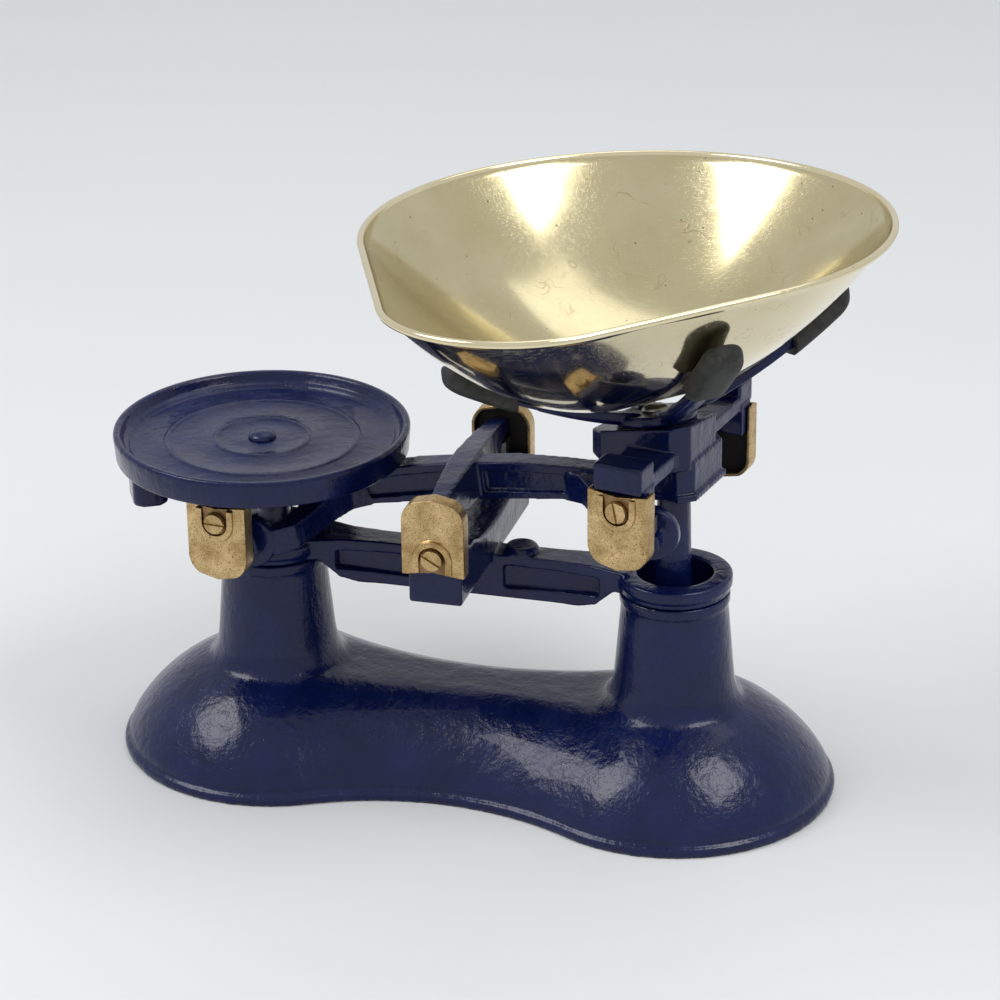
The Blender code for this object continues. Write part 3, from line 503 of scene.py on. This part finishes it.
# ------------------------------------------------------------------ bridge casting
def bridge_piece():
    lo, hi, seat = BAR_LO, BAR_HI, COLLAR + GAP
    half_plan = [(-HALF + 19, -14), (-58, -8.5), (-40, -7), (40, -7), (58, -8.5), (HALF - 19, -14)]
    bridge = prism(half_plan + [(x, -y) for x, y in half_plan[::-1]], lo, hi)
    under = [(-HALF, seat), (-69.5, seat), (-60, lo + 2), (-52, lo)]
    cut(bridge, prism([(-HALF, lo - 5)] + under + [(-x, z) for x, z in under[::-1]] + [(HALF, lo - 5)],
                      -30, 30, "Y"))
    for side in (-1, 1):
        for face in (-1, 1):
            cut(bridge, prism([(side * 17, lo + 5), (side * 62, lo + 6.5), (side * 62, hi - 5.5),
                               (side * 17, hi - 5)], face * 4.2, face * 20, "Y"))
    boss = [(0, hi - 4), (8, hi - 4), (8, hi + 1.5), (6.5, hi + 3.6), (0, hi + 4.4)]
    join(bridge, lathe(boss, 64, (24, 0)))
    foot, upright = YOKE_LO, KNIFE_Z - 5.3
    scoop = [(46.0, upright), (43.0, upright - 3.5), (36.0, 128.0), (27.0, 124.6), (16.0, 122.6), (6.0, 121.8)]
    yoke = prism([(-57.4, foot), (57.4, foot), (57.4, upright)] + scoop + [(-y, z) for y, z in scoop[::-1]]
                 + [(-57.4, upright)], -12.2, 12.2, "X")
    join(bridge, soften(yoke, 1.0))
    ring = [(BORE_R, COLLAR - 7.4), (BORE_R + 3.3, COLLAR - 7.4), (BORE_R + 3.3, seat), (RING_R - 1.2, seat),
            (RING_R - 0.9, seat + 3.0), (RING_R, seat + 3.6), (RING_R, RING_TOP - 1.0),
            (RING_R - 1.0, RING_TOP), (BORE_R + 0.8, RING_TOP), (BORE_R, RING_TOP - 0.8)]
    for side in (-1, 1):
        cut(bridge, rod((side * HALF, 0, RING_TOP), BORE_R + 2.0, 30, "Z", 96))
        join(bridge, lathe(ring, 96, (side * HALF, 0)))
    show(cast(bridge, 0.62, 9), "bridge_frame", ENAMEL)


# ------------------------------------------------------------------ brass caps and their screws
def cap_piece(tip):
    """Cap with its knife line at the origin, face at -Y, rounded tip towards tip * Z."""
    w, wall, ra, hole_z = CAP_W / 2, 1.6, 10.5, SCREW_Z

    def shape(inset, tail):
        e, r, top = w - inset, ra - inset, CAP_TIP - inset
        pts = [(-e, tail), (-e * 0.55, tail + 0.8), (0, tail + 1.8), (e * 0.55, tail + 0.8), (e, tail)]
        if tail < -CAP_TIP:
            pts = [(-e, tail), (e, tail)]
        corner = arc(e - r, top - r, r, 0, 60, 12)
        pts += corner + [(0, top + 0.6)] + [(-x, z) for x, z in corner[::-1]]
        return [(x, z * tip) for x, z in pts]
    body = prism(shape(0, -CAP_TIP), -CAP_Y, -CAP_Y + CAP_DEPTH, "Y")
    cut(body, prism(shape(wall, -CAP_TIP - 3), -CAP_Y + 2.0, -CAP_Y + CAP_DEPTH + 2, "Y"))
    outer = [(-8.9, -16.2)] + [(x, z + hole_z) for x, z in arc(0, 0, 8.9, 180, 0, 28)] + [(8.9, -16.2)]
    inner = [(6.0, -16.2)] + [(x, z + hole_z) for x, z in arc(0, 0, 6.0, 0, 180, 28)] + [(-6.0, -16.2)]
    join(body, prism([(x, z * tip) for x, z in outer + inner], -CAP_Y - 1.7, -CAP_Y + 0.6, "Y"))
    cut(body, rod((0, -CAP_Y, hole_z * tip), 2.2, 6))
    cast(body, 0.40, 4)
    for p in body.data.polygons:
        c, n = p.center / MM, p.normal
        outward = n.x * c.x + n.z * c.z
        # faces inside the cap's hollow take the near-black painted shade
        darkened = -CAP_Y + 1.2 < c.y < -CAP_Y + CAP_DEPTH - 0.5 and (outward < 0 or n.y > 0.5)
        # faces in the screw's recess take the darker brass, painted shade
        cupped = c.y < -CAP_Y + 1.2 and (math.hypot(c.x, c.z - hole_z * tip) < 6.6
                                         or (abs(c.x) < 6.6 and hole_z - 9.0 < c.z * tip < hole_z))
        p.material_index = 1 if darkened else 2 if cupped and c.y > -CAP_Y - 0.9 else 0
    return body


def screw_piece(tip, lean):
    """Slotted cheese-head screw."""
    z0, head_y = SCREW_Z * tip, -CAP_Y - GAP
    head = soften(rod((0, head_y - 1.2, z0), 4.8, 1.2), 0.5, 3, 60)
    join(head, rod((0, head_y + 3.4, z0), 1.8, 3.6))
    slot = box(-6, 6, head_y - 3.4, head_y - 1.3, z0 - 0.55, z0 + 0.55)
    about = shift(0, 0, z0)
    cut(head, move(slot, about @ spun(lean, "Y") @ about.inverted()))
    return head


def cap_set(prefix, tip, place, leans):
    for label, turn, lean in (("front", 0.0, leans[0]), ("back", 180.0, leans[1])):
        at = place @ spun(turn)
        show(move(cap_piece(tip), at), f"{prefix}_cap_{label}", CAP_BRASS, CAP_INSIDE_SHADE, CAP_RECESS_SHADE)
        show(move(screw_piece(tip, lean), at), f"{prefix}_cap_screw_{label}", CAP_BRASS, sharp=35)


# ------------------------------------------------------------------ beam
def beam_piece():
    top = [(-62, 8.5), (-45, 11.0), (-25, 13.2), (0, 14.0), (25, 13.2), (45, 11.0), (62, 8.5)]
    low = [(62, -6.5), (40, -5.0), (0, -4.0), (-40, -5.0), (-62, -6.5)]
    beam = prism(top + low, -6.0, 6.0, "Y")
    for side in (-1, 1):
        for face in (-1, 1):
            cut(beam, prism([(side * 9, 0.0), (side * 56, -2.6), (side * 56, 5.4), (side * 30, 8.4),
                             (side * 9, 9.6)], face * 3.4, face * 12, "Y"))
    half = [(-56.6, 4.6), (-56.6, 10.6), (-46, 12.6), (-30, 14.6), (-8, 15.6)]
    under = [(43, 4.6), (36, 0.5), (20, -2.6)]
    ridge = prism(half + [(-y, z) for y, z in half[::-1]] + under + [(-y, z) for y, z in under[::-1]],
                  -6.2, 6.2, "X")
    for side in (-1, 1):
        cut(ridge, prism([(side * x, y) for x, y in ((9, -60), (9, 60), (4.4, 60), (4.4, 44), (6.2, 8),
                                                      (6.2, -8), (4.4, -44), (4.4, -60))], -20, 30))
    join(beam, ridge)
    stations = ((52, 2.0, 1.0, 6.0, 7.0), (60, 6.0, 0.6, 6.0, 7.2), (66, 14.0, -2.0, 5.4, 6.6),
                (72, 25.0, -5.5, 5.0, 6.0), (77, 34.0, -7.5, 4.6, 6.0), (84, 40.5, -8.0, 3.0, 6.4))
    for side in (-1, 1):
        for face in (-1, 1):
            rings = []
            for x, y, z, w, h in stations:
                px, py, dx, dy = side * x, face * y, side * w, face * w * 0.55
                rings.append([(px - dx, py + dy, z - h), (px + dx, py - dy, z - h),
                              (px + dx, py - dy, z + h), (px - dx, py + dy, z + h)])
            join(beam, loft(rings))
            lo, hi = sorted((face * 37.5, face * 43.5))
            paddle = [(side * (ARM - PADDLE_IN) + x, z - 7.0) for x, z in arc(0, 0, PADDLE_R, 0, 355, 71)]
            join(beam, soften(prism(paddle, lo, hi, "Y"), 1.2, 3, 60))
            lo, hi = sorted((face * 42.5, face * 52.0))
            join(beam, box(side * ARM - 4, side * ARM + 4, lo, hi, -11.0, -4.6, 0.6))
    cast(beam, 0.6, 9)
    show(move(beam, shift(0, 0, KNIFE_Z) @ spun(-REST_TILT, "Y")), "beam", ENAMEL)


# ------------------------------------------------------------------ pan carriers
def octagon(cx, cy, a, b, c):
    return [(cx - a + c, cy - b), (cx + a - c, cy - b), (cx + a, cy - b + c), (cx + a, cy + b - c),
            (cx + a - c, cy + b), (cx - a + c, cy + b), (cx - a, cy + b - c), (cx - a, cy - b + c)]


def carrier(arm_lo, arm_hi, end_hi, seat_hi, seat_x, seat_y, box_lo):
    """Cross arm with a lug at each end and a centre box; knife line at the origin."""
    c = box(-11.5, 11.5, -48, 48, arm_lo, arm_hi, 1.2)
    for face in (-1, 1):
        lo, hi = sorted((face * 46.5, face * 61.0))
        join(c, box(-11.5, 11.5, lo, hi, CAP_TIP + GAP, end_hi, 1.2))
        lo, hi = sorted((face * 47.5, face * 57.4))
        join(c, box(-12.2, 12.2, lo, hi, 5.3, CAP_TIP + 2.0))
    return join(c, prism(octagon(seat_x, seat_y, 23.5, 21.0, 7.0), arm_lo - 2, seat_hi),
                prism(octagon(0, 0, 16.5, 21.0, 6.0), box_lo + 2.6, arm_lo + 1),
                prism(octagon(0, 0, 18.0, 22.5, 6.5), box_lo, box_lo + 3.0))


def stem_piece(top):
    s = lathe([(0, -DROP - 5.8), (4.6, -DROP - 5.8), (STEM_R - 1.0, -DROP - 4.0), (STEM_R - 0.4, -DROP + 8),
               (STEM_R + 0.5, -DROP + 30), (STEM_R + 0.5, -50), (STEM_R - 0.4, 0), (STEM_R - 0.4, top),
               (0, top)], 64)
    cut(s, box(-12, 12, -2.9, 2.9, -DROP - 9, -DROP + 11.5))
    return cut(s, rod((0, 0, -DROP), 2.5, 12))


def finish_carrier(word, body, twist, knife, leans):
    place = shift(*knife)
    swivel = place @ spun(-twist)
    move(body, swivel)
    join(body, move(stem_piece(8.0), place))
    show(cast(body, 0.6, 5), word + "_carrier", ENAMEL)
    cap_set(word, -1, swivel, leans)


def weight_plate():
    seat = shift(*LEFT_KNIFE) @ shift(*PLATE_PLACE, PLATE_SEAT + GAP)
    r, h = PLATE_R, PLATE_H
    profile = [(0, 0.6), (r - 9.2, 0.6), (r - 8.2, 0.0), (r - 2.0, 0.0), (r - 1.2, 0.3), (r - 0.8, 1.0),
               (r - 0.1, h - 2.6), (r, h - 1.6), (r - 0.3, h - 0.5), (r - 1.0, h), (r - 2.4, h),
               (r - 3.1, h - 0.4), (r - 3.7, h - 1.4),
               (r - 4.5, 8.5), (r - 5.4, 7.8), (r - 6.4, 7.5), (r - 7.1, 6.9), (r - 7.7, 6.2), (r - 8.6, 6.0)]
    for radius in (43.5, 21.4):
        profile += [(radius + dr, 6.0 + dz) for dr, dz in
                    ((1.9, 0.0), (1.3, 0.25), (0.7, 0.75), (0.0, 0.9), (-0.7, 0.75), (-1.3, 0.25), (-1.9, 0.0))]
    plate = lathe(profile + [(12.0, 6.0), (9.0, 6.25), (0, 6.35)], 160)
    cut(plate, rod((0, 0, 4), 2.4, 8, "Z"))
    pocket = soften(prism([(-8, -9), (8, -9), (8, 6), (4, 9), (-4, 9), (-8, 6)], -19.0, 3.4), 2.0, 4)
    at = rad(POCKET_TURN)
    move(pocket, shift(POCKET_OUT * COS(at), POCKET_OUT * SIN(at), 0) @ spun(POCKET_TURN))
    show(move(join(plate, pocket), seat), "weight_plate", ENAMEL, sharp=50)
    rivet = lathe([(0, 6.5), (6.4, 6.5), (6.3, 7.2), (5.7, 8.1), (4.4, 8.9), (2.2, 9.4), (0, 9.5)], 48)
    show(move(join(rivet, rod((0, 0, 2.2), 2.1, 4.6, "Z")), seat), "plate_rivet", ENAMEL, sharp=50)


HUB = (-7.0, -4.0, 30.0)
FIRST_ARM = Vector((COS(rad(SPIDER_TURN)), SIN(rad(SPIDER_TURN)), 0))
CANT = (shift(*HUB) @ Matrix.Rotation(rad(-SPIDER_CANT), 4, FIRST_ARM)
        @ Matrix.Rotation(rad(-SPIDER_PITCH), 4, Vector((-FIRST_ARM.y, FIRST_ARM.x, 0))))
REST = shift(*RIGHT_KNIFE) @ CANT @ spun(SPIDER_TURN)


def right_carrier():
    body = carrier(17.0, 24.5, 30.5, 37.0, HUB[0] - 1.0, HUB[1], 0.0)
    wedge = move(box(-60, 60, -60, 60, -GAP, 60), spun(TWIST_RIGHT) @ CANT)
    cut(body, combine(wedge, box(-70, 70, -45.5, 45.5, -10, 90), "INTERSECT"))
    finish_carrier("right", body, TWIST_RIGHT, RIGHT_KNIFE, (78.0, 10.0))


# ------------------------------------------------------------------ pan rest and its rubber tips
def arm_path(r, rise):
    """Height of an arm's top face above the hub's foot, rising to the tip."""
    return HUB_H + rise * (r / SPIDER_REACH) ** 1.6


def arm_rings(r1, steps, half_w, deep, rise, grow=0.0):
    rings = []
    for i in range(steps + 1):
        r = 9.0 + (r1 - 9.0) * i / steps
        w, low, high = half_w + grow, arm_path(r, rise) - deep - grow, arm_path(r, rise) + grow
        rings.append([(r, -w, low), (r, w, low), (r, w, high), (r, -w, high)])
    return rings


def spider_piece():
    spider = lathe([(0, 0), (17.5, 0), (18.2, 0.8), (18.2, HUB_H - 1.2), (17.2, HUB_H), (0, HUB_H)], 96)
    for q, rise in enumerate(SPIDER_RISES):
        join(spider, move(loft(arm_rings(SPIDER_REACH - 4.0, 24, 4.6, ARM_DEEP, rise)), spun(90 * q)))
        rib = []
        for ring in arm_rings(SPIDER_REACH - 40.0, 12, 1.8, ARM_DEEP - 0.4, rise):
            r, z = ring[0][0], ring[0][2]
            low = z - 2.2 * (1 - 0.6 * (r - 9) / 45)
            rib.append([(r, -1.8, low), (r, 1.8, low), (r, 1.8, z + 2), (r, -1.8, z + 2)])
        join(spider, move(cut(loft(rib), box(-40, 40, -40, 40, -20, 0.0)), spun(90 * q)))
    cut(spider, rod((0, 0, 4), 2.9, 12, "Z"))
    show(move(cast(spider, 0.55, 3), REST), "bowl_spider", ENAMEL)
    head = HUB_H + GAP
    screw = lathe([(0, head), (6.0, head), (6.2, head + 0.2), (6.2, head + 0.7), (5.8, head + 1.4),
                   (5.0, head + 2.0), (3.0, head + 2.7), (0, head + 2.9)], 64)
    join(screw, rod((0, 0, 0.4), 2.5, 6.2, "Z"))
    cut(screw, box(-8, 8, -0.7, 0.7, head + 1.6, head + 5))
    show(move(screw, REST), "spider_screw", STEEL, sharp=35)


def tip_piece(rise):
    """Moulded rubber sleeve: squarish at its mouth, flattened and rounded at its end."""
    rings = []
    for i in range(25):
        f = 1.0 - (1.0 - i / 24) ** 1.7
        r = SPIDER_REACH - TIP_LONG * (1 - f)
        z = arm_path(r, rise) - ARM_DEEP / 2
        k = 1.0 if f < 0.78 else math.sqrt(max(0.0, 1.0 - ((f - 0.78) / 0.228) ** 2))
        hw, hh = 9.4 * (0.3 + 0.7 * k), 6.0 * (0.5 + 0.5 * k)
        ring = []
        for j in range(48):
            ca, sa = COS(2 * math.pi * j / 48), SIN(2 * math.pi * j / 48)
            across, up = math.copysign(abs(ca) ** 0.65, ca), math.copysign(abs(sa) ** 0.65, sa)
            ring.append((r, hw * across, z + hh * up))
        rings.append(ring)
    tip = loft(rings)
    pocket = arm_rings(SPIDER_REACH - 4.0, 12, 4.6, ARM_DEEP, rise, GAP)
    pocket[-1] = [(x + GAP, y, z) for x, y, z in pocket[-1]]
    return cast(cut(tip, loft(pocket)), 0.5, 2)


# ------------------------------------------------------------------ pan
def pan_outline():
    """Hull of a broad arc at the origin and a nose arc at -Y, the sides straight between them."""
    lean = math.degrees(math.acos((PAN_R - PAN_NOSE_R) / PAN_REACH))
    broad = arc(0, 0, PAN_R, -90 + lean, 270 - lean, 150)
    nose = arc(0, -PAN_REACH, PAN_NOSE_R, 270 - lean, 270 + lean, 50)

    def between(a, b, n=14):
        return [(a[0] + (b[0] - a[0]) * i / n, a[1] + (b[1] - a[1]) * i / n) for i in range(1, n)]
    return broad + between(broad[-1], nose[0]) + nose + between(nose[-1], broad[0])


def pan_piece():
    """Thin dish with a rolled edge: outer wall up, round the bead, inner wall down."""
    rim = np.array(pan_outline())
    steps = np.linspace(0.02, 1.0, 50)
    outer = np.stack([np.column_stack([rim * g, np.full(len(rim), PAN_DEPTH * g * g)]) for g in steps])
    along = np.roll(outer, -1, axis=1) - np.roll(outer, 1, axis=1)
    normal = np.cross(np.gradient(outer, axis=0), along)
    normal /= np.linalg.norm(normal, axis=2, keepdims=True)
    normal *= np.sign(normal[:, :, 2:3])
    inner = outer + normal * PAN_T
    last, edge = outer[-1], along[-1]
    out = np.column_stack([edge[:, 1], -edge[:, 0], np.zeros(len(rim))])
    out /= np.linalg.norm(out, axis=1, keepdims=True)
    up = np.array([0.0, 0.0, 1.0])
    mid = last + out * PAN_BEAD * 0.55 + up * PAN_BEAD * 0.5
    sweep = np.radians(np.linspace(-70, 160, 16))
    bead = [mid + out * PAN_BEAD * COS(a) + up * PAN_BEAD * SIN(a) for a in sweep]
    rings = [[tuple(p) for p in ring] for ring in (*outer, *bead, *inner[::-1])]
    pan = loft(rings)
    for p in pan.data.polygons:
        c = p.center / MM
        p.material_index = int(p.normal.z < -0.02 or c.z > PAN_DEPTH - 0.3)
    move(pan, shift(*PAN_PLACE) @ Matrix.Rotation(rad(-PAN_LEAN), 4, Vector((COS(rad(50)), SIN(rad(50)), 0)))
         @ spun(PAN_TURN))
    low = min(v.co.z for v in pan.data.vertices)
    move(pan, shift(z=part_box("bowl")[0].z / MM - low / MM))
    show(pan, "bowl", PAN_IN, PAN_OUT)


base_piece()
bridge_piece()
cap_set("centre", 1, shift(0, 0, KNIFE_Z), (30.0, 75.0))
beam_piece()
left_body = carrier(15.0, 21.0, PLATE_SEAT, PLATE_SEAT, *PLATE_PLACE, 4.0)
finish_carrier("left", left_body, TWIST_LEFT, LEFT_KNIFE, (0.0, 60.0))
weight_plate()
right_carrier()
spider_piece()
for quarter, label in enumerate(("back_right", "back_left", "front_left", "front_right")):
    show(move(tip_piece(SPIDER_RISES[quarter]), REST @ spun(90 * quarter)), "rubber_tip_" + label, RUBBER)
pan_piece()
for node, piece in frame["nodes"].items():
    if not piece.hide_render:
        piece.data.materials.clear()
        piece.data.materials.append(STEEL)


# ------------------------------------------------------------------ floor, light and camera
def floor():
    f = Finish("pale_sweep", Specular_IOR_Level=0.2)
    cloud = f.ramp(f.noise(3.0, 3.0), 0.3, 0.7)
    f.set("Base Color", f.mix(cloud, (0.655, 0.668, 0.680), (0.665, 0.678, 0.690)))
    f.set("Roughness", f.ramp(f.noise(40.0), 0.3, 0.7, 0.55, 0.65))
    plane = solid([(-7e3, -7e3, -0.4), (7e3, -7e3, -0.4), (7e3, 7e3, -0.4), (-7e3, 7e3, -0.4)], [(0, 1, 2, 3)])
    plane.name = "floor"
    plane.data.materials.append(f.mat)


def panel_light(name, azimuth, elevation, distance, size, power, tint=(1.0, 1.0, 1.0)):
    """Soft box aimed at the object; azimuth 0 is straight in front, positive to the right."""
    lamp = bpy.data.lights.new(name, "AREA")
    lamp.shape, lamp.size, lamp.size_y, lamp.energy, lamp.color = "RECTANGLE", size[0], size[1], power, tint
    ob = bpy.data.objects.new(name, lamp)
    bpy.context.scene.collection.objects.link(ob)
    a, e = rad(azimuth), rad(elevation)
    aim = Vector((0, 0, 0.12))
    ob.location = aim + distance * Vector((SIN(a) * COS(e), -COS(a) * COS(e), SIN(e)))
    ob.rotation_euler = (aim - ob.location).to_track_quat("-Z", "Y").to_euler()


def studio():
    world = bpy.data.worlds.new("studio")
    world.use_nodes = True
    world.node_tree.nodes["Background"].inputs["Color"].default_value = (0.955, 0.968, 0.985, 1.0)
    world.node_tree.nodes["Background"].inputs["Strength"].default_value = 0.72
    bpy.context.scene.world = world
    bpy.context.scene.view_settings.view_transform = "Standard"
    panel_light("left box", -67.0, 49.0, 1.9, (0.95, 0.8), 15.0)
    panel_light("right box", 73.0, 54.0, 1.9, (0.85, 0.75), 13.0)
    panel_light("top", 165.0, 66.0, 1.9, (1.3, 1.0), 4.0)


def camera():
    """Camera in front and a little to the right, looking down on the scale through a long lens."""
    turn, pitch, roll, reach = 0.287, 0.435, -0.017, 1593.769
    forward = Vector((-SIN(turn) * COS(pitch), COS(turn) * COS(pitch), -SIN(pitch)))
    level = Vector((COS(turn), SIN(turn), 0))
    over = level.cross(forward)
    right = level * COS(roll) + over * SIN(roll)
    up = over * COS(roll) - level * SIN(roll)
    eye = (Vector((PIVOT.x, PIVOT.y, 100)) - forward * reach) * MM
    data = bpy.data.cameras.new("camera")
    data.lens, data.sensor_width, data.shift_x, data.shift_y = 126.0, 36.0, 0.0287, 0.0605
    data.clip_end = 30.0
    ob = bpy.data.objects.new("camera", data)
    bpy.context.scene.collection.objects.link(ob)
    ob.matrix_world = Matrix([(right[i], up[i], -forward[i], eye[i]) for i in range(3)] + [(0, 0, 0, 1)])
    bpy.context.scene.camera = ob


floor()
studio()
camera()
